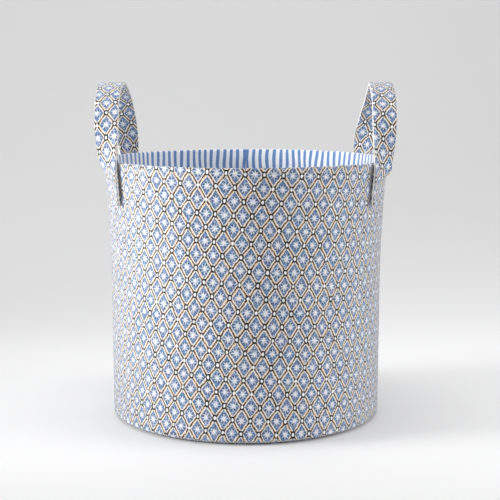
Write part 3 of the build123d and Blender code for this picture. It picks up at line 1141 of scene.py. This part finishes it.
class Stitches(Operator):
    """Makes the rows of stitches round the rim and on the sewn ends"""

    bl_idname = "storage_bin.stitches"
    bl_label = "Stitches"

    def execute(self, context):
        scene = context.scene
        tub, strap, thread = scene.bin_tub, scene.bin_strap, scene.bin_thread
        finish = finish_named("sewing thread", sewing_thread, scene.bin_lining)
        self.rim_row(tub, thread, finish)
        for name, side in HANDLES:
            for end, far in (("front", False), ("back", True)):
                self.sewn_end(f"{name}_{end}", side, far, tub, strap, thread, finish)
        return {"FINISHED"}

    def rim_row(self, tub, thread, finish):
        """Stitches end to end round the wall, at one height."""
        height = tub.wall_height - thread.rim_drop
        radius, _ = off_wall(tub, height, -RIM_SINK)
        count = round(2 * math.pi * radius / thread.pitch)
        middle = 2 * math.pi * (np.arange(count) + 0.5) / count
        half = thread.stitch / 2 / radius
        slope = float(wall_slope(tub, height))
        starts, ends = (
            on_round(radius + waver(tub, turn, height), turn, height)
            for turn in (middle - half, middle + half)
        )
        outs = on_round(math.cos(slope), middle, -math.sin(slope))
        piece = thread_piece("rim_topstitch_thread", starts, ends, outs, thread, finish)
        on_bin(piece, "rim_topstitch")

    def on_strap(self, pairs, side, far, tub, strap):
        """Carries pairs of flat points (across, rise above the rim) onto a strap's outer face.
        Gives both ends and the way out."""
        face = strap_thickness(strap) / 2
        found = []
        for flat in pairs:
            station = flat[:, 1] / strap.free_drop
            station = 2 - station if far else station
            levels = (np.full(len(flat), level) for level in (face, face + MM))
            found.append(
                [strap_points(tub, strap, side, station, flat[:, 0], off) for off in levels]
            )
        (start, start_out), (end, end_out) = found
        outs = start_out - start + end_out - end
        return start, end, outs / np.linalg.norm(outs, axis=-1, keepdims=True)

    def sewn_end(self, name, side, far, tub, strap, thread, finish):
        """A box of stitches with its two diagonals."""
        reach = strap.width / 2 - thread.tab_inset
        high = -strap.free_drop - thread.tab_inset
        low = -strap.free_drop - strap.tab_length + thread.tab_inset
        corners = [(-reach, low), (reach, low), (reach, high), (-reach, high)]
        lines = [(corners[i - 1], corners[i]) for i in range(4)]
        lines += [(corners[0], corners[2]), (corners[1], corners[3])]
        rows = [stitch_row(start, end, thread) for start, end in lines]
        pairs = [np.concatenate([row[i] for row in rows]) for i in (0, 1)]
        starts, ends, outs = self.on_strap(pairs, side, far, tub, strap)
        piece = thread_piece(f"{name}_tab_thread", starts, ends, outs, thread, finish)
        on_bin(piece, f"{name}_tab_stitches")


LIGHTS = {  # each one's width and height, spread in degrees, place and target
    "key": ((0.8, 0.8), 48, (-1.55, -0.25, 0.58), (0, 0, 0.40)),
    "fill": ((0.9, 1.1), 70, (1.85, -0.20, 0.50), (0, 0, 0.26)),
    "top": ((1.4, 0.4), 150, (0, -0.08, 2.4), (0, -0.08, 0)),
    "front": ((3.0, 0.8), 120, (0, -2.6, 0.45), (0, 0, 0.26)),
    "back": ((2.5, 0.8), 140, (-0.2, 0.9, 2.8), (-0.2, 2.4, 1.0)),
}
PAPER_FRONT, PAPER_BACK = -4.0, 0.55  # level part of the backdrop, along Y
PAPER_BEND, PAPER_TOP = 2.0, 4.5  # radius of its bend, and its height
PAPER_HALF = 5.0  # half its width


class Stage(Operator):
    """Makes the floor, the lights and the camera"""

    bl_idname = "storage_bin.stage"
    bl_label = "Stage"

    def execute(self, context):
        scene, stage = context.scene, context.scene.bin_stage
        self.backdrop(stage)
        for name, (size, spread, place, target) in LIGHTS.items():
            watts = getattr(stage, name)
            self.softbox(f"{name} light", watts, size, spread, Vector(place), Vector(target))
        world = bpy.data.worlds.new("even light")
        world.use_nodes = True
        sky = world.node_tree.nodes["Background"]
        sky.inputs["Color"].default_value = (1, 1, 1, 1)
        sky.inputs["Strength"].default_value = stage.sky
        scene.world = world
        camera = bpy.data.objects.new("camera", bpy.data.cameras.new("camera"))
        camera.data.lens = stage.lens
        camera.location = stage.camera
        camera.rotation_euler = Euler((math.pi / 2 - stage.pitch, 0, 0))
        scene.collection.objects.link(camera)
        scene.camera = camera
        scene.view_settings.view_transform = "Standard"
        return {"FINISHED"}

    def backdrop(self, stage):
        """A sheet of paper: level in front, then a quarter circle up behind, then upright."""
        turn = np.linspace(0, math.pi / 2, 17)
        behind = PAPER_BACK + PAPER_BEND * np.sin(turn)
        y = np.concatenate([[PAPER_FRONT], behind, [PAPER_BACK + PAPER_BEND]])
        z = np.concatenate([[0.0], PAPER_BEND * (1 - np.cos(turn)), [PAPER_TOP]])
        x = np.linspace(-PAPER_HALF, PAPER_HALF, 3)
        grid = np.stack(np.broadcast_arrays(x[:, None], y, z), -1)
        faces, _ = grid_faces(*grid.shape[:2])
        spots = grid[..., :2].reshape(-1, 2)
        paper = make_piece("backdrop", grid, [faces], [spots[faces]], backdrop_paper(stage))

    def softbox(self, name, watts, size, spread, place, target):
        """A light of that width and height, which fans out by spread degrees about its target."""
        light = bpy.data.lights.new(name, "AREA")
        light.energy = watts
        light.shape = "RECTANGLE"
        light.size, light.size_y = size
        light.spread = math.radians(spread)
        lamp = bpy.data.objects.new(name, light)
        lamp.location = place
        lamp.rotation_euler = (target - place).to_track_quat("-Z", "Y").to_euler()
        bpy.context.scene.collection.objects.link(lamp)


class BinPanel(Panel):
    """Lists the bin's pieces and sizes"""

    bl_idname = "VIEW3D_PT_storage_bin"
    bl_label = "Storage bin"
    bl_space_type = "VIEW_3D"
    bl_region_type = "UI"
    bl_category = "Storage bin"

    def draw(self, context):
        for operator in OPERATORS:
            self.layout.operator(operator.bl_idname)
        for name, group in GROUPS.items():
            box = self.layout.box()
            box.label(text=group.__doc__)
            for key in group.__annotations__:
                box.prop(getattr(context.scene, name), key)


GROUPS = {
    "bin_tub": TubSizes,
    "bin_strap": StrapSizes,
    "bin_thread": ThreadSizes,
    "bin_print": PrintLook,
    "bin_lining": LiningLook,
    "bin_stage": StageLook,
}
OPERATORS = (OuterWall, Core, Lining, Straps, Stitches, Stage)


def register():
    for item in (*GROUPS.values(), *OPERATORS, BinPanel):
        bpy.utils.register_class(item)
    for name, group in GROUPS.items():
        setattr(bpy.types.Scene, name, PointerProperty(type=group))


def unregister():
    for name in GROUPS:
        delattr(bpy.types.Scene, name)
    for item in reversed((*GROUPS.values(), *OPERATORS, BinPanel)):
        bpy.utils.unregister_class(item)


def main():
    """Registers the add-on and makes every piece."""
    register()
    for operator in OPERATORS:
        group, name = operator.bl_idname.split(".")
        getattr(getattr(bpy.ops, group), name)()


if __name__ == "__main__":
    main()
